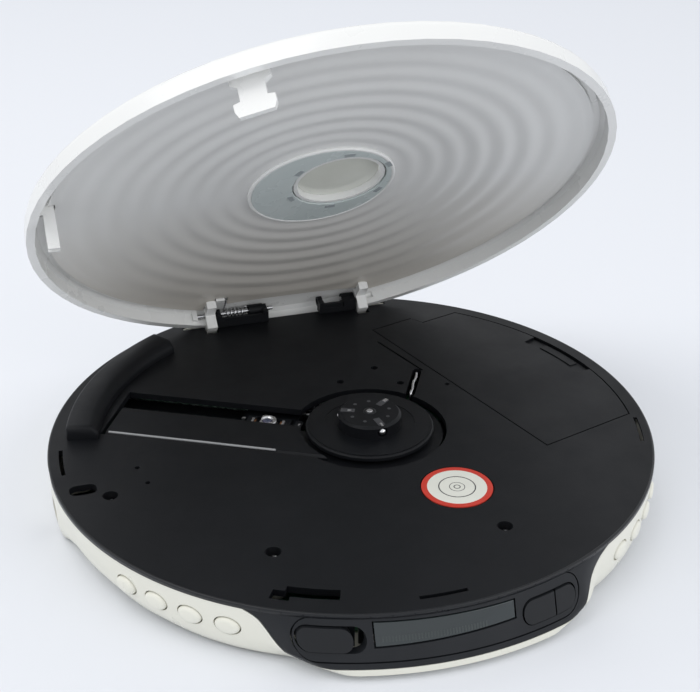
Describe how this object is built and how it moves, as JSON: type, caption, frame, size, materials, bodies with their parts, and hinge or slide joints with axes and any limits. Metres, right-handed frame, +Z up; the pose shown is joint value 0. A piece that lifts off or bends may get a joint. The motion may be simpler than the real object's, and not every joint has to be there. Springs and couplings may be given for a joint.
{
  "type": "portable disc player",
  "caption": "Portable disc player with an open hinged lid, black deck, turntable hub, optical pickup slot, curved display fascia and oval keys.",
  "frame": {"origin": "middle of the underside's raised land, on the axis of the round deck", "axes": "+Z up; -Y towards the display, +Y towards the lid's hinge; +X to the right seen from the display"},
  "size_m": [0.1358, 0.1387, 0.1105],
  "materials": {
    "white_gloss": "satin gloss",
    "liner_white": "silvered satin",
    "deck_black": "fine matte",
    "fascia_grey": "satin",
    "display_glass": "clear",
    "tinted_clear": "clear",
    "steel": "polished",
    "brass": "plain",
    "board_green": "lacquered",
    "rubber": "matte",
    "label": "printed",
    "cell_wrap": "sleeved"
  },
  "bodies": {
    "root": {"bottom_shell": "white_gloss", "deck_plate": "deck_black", "front_fascia": "fascia_grey", "fascia_insert": "fascia_grey", "display_window": "display_glass", "display_module": "display_glass", "disc_guard": "deck_black", "hinge_bracket_left": "deck_black", "hinge_bracket_right": "deck_black", "shield_plate": "deck_black", "mechanism_chassis": "fascia_grey", "guide_rod": "steel", "spindle_motor": "steel", "feed_motor": "steel", "main_board": "board_green", "headphone_jack": "deck_black", "power_jack": "deck_black", "battery_tray": "deck_black", "battery_cell": "cell_wrap", "battery_contact_back": "brass", "battery_contact_front": "brass", "rubber_foot_1": "rubber", "rubber_foot_2": "rubber", "rubber_foot_3": "rubber", "rubber_foot_4": "rubber", "deck_screw_1": "steel", "deck_screw_2": "steel", "deck_screw_3": "steel", "wire_spring": "steel", "round_label": "label", "lid_switch": "fascia_grey"},
    "lid": {"lid_shell": "white_gloss", "lid_liner": "liner_white", "lid_insert_plate": "tinted_clear", "lid_window": "tinted_clear", "hinge_pin_left": "steel", "hinge_pin_right": "steel", "hinge_spring": "steel"},
    "battery_door": {"battery_cover": "deck_black"},
    "spindle": {"turntable": "deck_black", "spindle_shaft": "steel"},
    "ball_1": {"chuck_ball_1": "steel"},
    "ball_2": {"chuck_ball_2": "steel"},
    "ball_3": {"chuck_ball_3": "steel"},
    "sled": {"pickup_sled": "deck_black"},
    "lens": {"lens_holder": "steel", "pickup_lens": "tinted_clear"},
    "feed_screw": {"lead_screw": "steel"},
    "opener": {"open_slider": "fascia_grey", "latch_plate": "steel"},
    "front_button_left": {"front_key_left": "fascia_grey"},
    "front_button_right": {"front_key_right": "fascia_grey"},
    "left_button_1": {"left_key_1": "white_gloss"},
    "left_button_2": {"left_key_2": "white_gloss"},
    "left_button_3": {"left_key_3": "white_gloss"},
    "left_button_4": {"left_key_4": "white_gloss"},
    "right_button_1": {"right_key_1": "white_gloss"},
    "right_button_2": {"right_key_2": "white_gloss"},
    "right_button_3": {"right_key_3": "white_gloss"},
    "right_button_4": {"right_key_4": "white_gloss"}
  },
  "joints": [
    {"name": "lid_hinge", "type": "hinge", "parent": "root", "child": "lid", "pos_m": [0, 0.0598, 0.0156], "axis": [-1, 0, 0], "range_deg": [-48.2, 0], "stiffness_Nm_per_rad": 0.03, "springref_deg": 57.3},
    {"name": "battery_door_hinge", "type": "hinge", "parent": "root", "child": "battery_door", "pos_m": [0.02064, 0.0448, 0.01225], "axis": [0.289, -0.9573, 0], "range_deg": [0, 95]},
    {"name": "turntable_spin", "type": "hinge", "parent": "root", "child": "spindle", "pos_m": [0.0038, -0.002, 0.0139], "axis": [0, 0, 1], "continuous": true},
    {"name": "ball_1_push", "type": "slide", "parent": "spindle", "child": "ball_1", "axis": [0.1219, -0.9925, 0], "range_m": [-0.0004, 0], "stiffness_N_per_m": 100, "springref_m": 0.001},
    {"name": "ball_2_push", "type": "slide", "parent": "spindle", "child": "ball_2", "axis": [0.7986, 0.6018, 0], "range_m": [-0.0004, 0], "stiffness_N_per_m": 100, "springref_m": 0.001},
    {"name": "ball_3_push", "type": "slide", "parent": "spindle", "child": "ball_3", "axis": [-0.9205, 0.3907, 0], "range_m": [-0.0004, 0], "stiffness_N_per_m": 100, "springref_m": 0.001},
    {"name": "sled_travel", "type": "slide", "parent": "root", "child": "sled", "axis": [-0.8788, 0.4772, 0], "range_m": [-0.001, 0.0334]},
    {"name": "lens_focus", "type": "slide", "parent": "sled", "child": "lens", "axis": [0, 0, 1], "range_m": [-0.0004, 0.0004], "stiffness_N_per_m": 60},
    {"name": "feed_screw_turn", "type": "hinge", "parent": "root", "child": "feed_screw", "pos_m": [-0.00067, 0.01659, 0.0084], "axis": [-0.8788, 0.4772, 0], "continuous": true},
    {"name": "open_slide", "type": "slide", "parent": "root", "child": "opener", "axis": [0.9332, -0.3593, 0], "range_m": [0, 0.0022], "stiffness_N_per_m": 150, "springref_m": -0.002},
    {"name": "front_button_left_press", "type": "slide", "parent": "root", "child": "front_button_left", "axis": [0, 1, 0], "range_m": [0, 0.0005], "stiffness_N_per_m": 400, "springref_m": -0.0005},
    {"name": "front_button_right_press", "type": "slide", "parent": "root", "child": "front_button_right", "axis": [0, 1, 0], "range_m": [0, 0.0005], "stiffness_N_per_m": 400, "springref_m": -0.0005},
    {"name": "left_button_1_press", "type": "slide", "parent": "root", "child": "left_button_1", "axis": [0.6046, 0.7965, 0], "range_m": [0, 0.0005], "stiffness_N_per_m": 400, "springref_m": -0.0005},
    {"name": "left_button_2_press", "type": "slide", "parent": "root", "child": "left_button_2", "axis": [0.6955, 0.7185, 0], "range_m": [0, 0.0005], "stiffness_N_per_m": 400, "springref_m": -0.0005},
    {"name": "left_button_3_press", "type": "slide", "parent": "root", "child": "left_button_3", "axis": [0.7765, 0.6301, 0], "range_m": [0, 0.0005], "stiffness_N_per_m": 400, "springref_m": -0.0005},
    {"name": "left_button_4_press", "type": "slide", "parent": "root", "child": "left_button_4", "axis": [0.8463, 0.5327, 0], "range_m": [0, 0.0005], "stiffness_N_per_m": 400, "springref_m": -0.0005},
    {"name": "right_button_1_press", "type": "slide", "parent": "root", "child": "right_button_1", "axis": [-0.6046, 0.7965, 0], "range_m": [0, 0.0005], "stiffness_N_per_m": 400, "springref_m": -0.0005},
    {"name": "right_button_2_press", "type": "slide", "parent": "root", "child": "right_button_2", "axis": [-0.6955, 0.7185, 0], "range_m": [0, 0.0005], "stiffness_N_per_m": 400, "springref_m": -0.0005},
    {"name": "right_button_3_press", "type": "slide", "parent": "root", "child": "right_button_3", "axis": [-0.7765, 0.6301, 0], "range_m": [0, 0.0005], "stiffness_N_per_m": 400, "springref_m": -0.0005},
    {"name": "right_button_4_press", "type": "slide", "parent": "root", "child": "right_button_4", "axis": [-0.8463, 0.5327, 0], "range_m": [0, 0.0005], "stiffness_N_per_m": 400, "springref_m": -0.0005}
  ],
  "couplings": [
    {"joint": "feed_screw_turn", "follows": "sled_travel", "rad_per_m": 2618}
  ]
}
